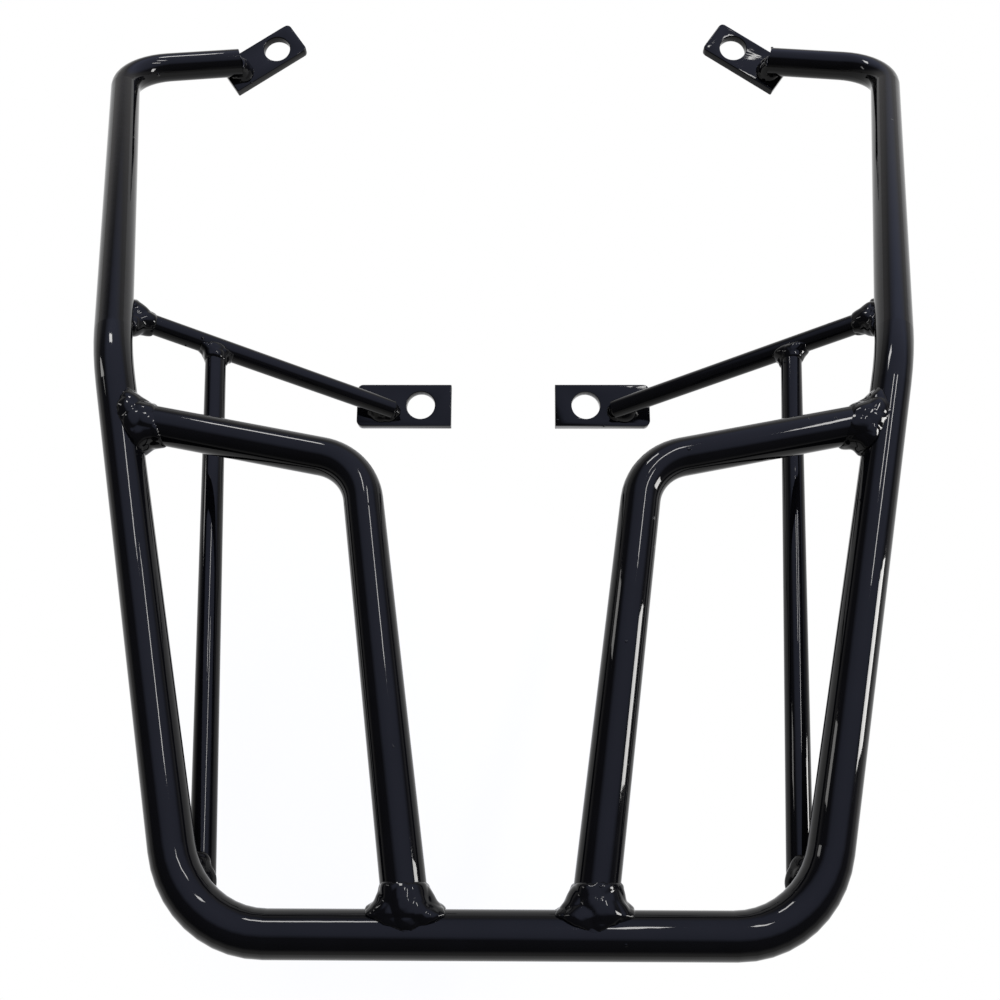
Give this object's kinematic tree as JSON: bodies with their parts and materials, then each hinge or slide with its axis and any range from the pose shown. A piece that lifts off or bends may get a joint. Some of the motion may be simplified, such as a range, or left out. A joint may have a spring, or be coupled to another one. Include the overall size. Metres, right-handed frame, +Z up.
{
  "type": "motorcycle luggage rack",
  "caption": "Welded tubular steel luggage rack for a motorcycle tail: a bent outer loop with a flat deck, inner rails, rod braces and drilled strap tabs that bolt down.",
  "frame": {"origin": "under the middle of the rack's outline, level with its lowest point", "axes": "+X to the rider's right, +Y to the front of the motorcycle, +Z up, square to the level deck"},
  "size_m": [0.3956, 0.4556, 0.1002],
  "materials": {
    "black_enamel": "gloss",
    "painted_weld": "gloss over a lumpy bead"
  },
  "bodies": {
    "root": {"outer_loop": "black_enamel", "inner_rail_left": "black_enamel", "inner_rail_right": "black_enamel", "cross_rod_left": "black_enamel", "cross_rod_right": "black_enamel", "strut_left": "black_enamel", "strut_right": "black_enamel", "front_tab_left": "black_enamel", "front_tab_right": "black_enamel", "mid_tab_left": "black_enamel", "mid_tab_right": "black_enamel", "weld_rail_rear_left": "painted_weld", "weld_rail_rear_right": "painted_weld", "weld_rail_front_left": "painted_weld", "weld_rail_front_right": "painted_weld", "weld_cross_rod_left": "painted_weld", "weld_cross_rod_right": "painted_weld", "weld_strut_front_left": "painted_weld", "weld_strut_front_right": "painted_weld", "weld_strut_rear_left": "painted_weld", "weld_strut_rear_right": "painted_weld", "weld_front_tab_left": "painted_weld", "weld_front_tab_right": "painted_weld", "weld_mid_tab_left": "painted_weld", "weld_mid_tab_right": "painted_weld"}
  },
  "joints": []
}
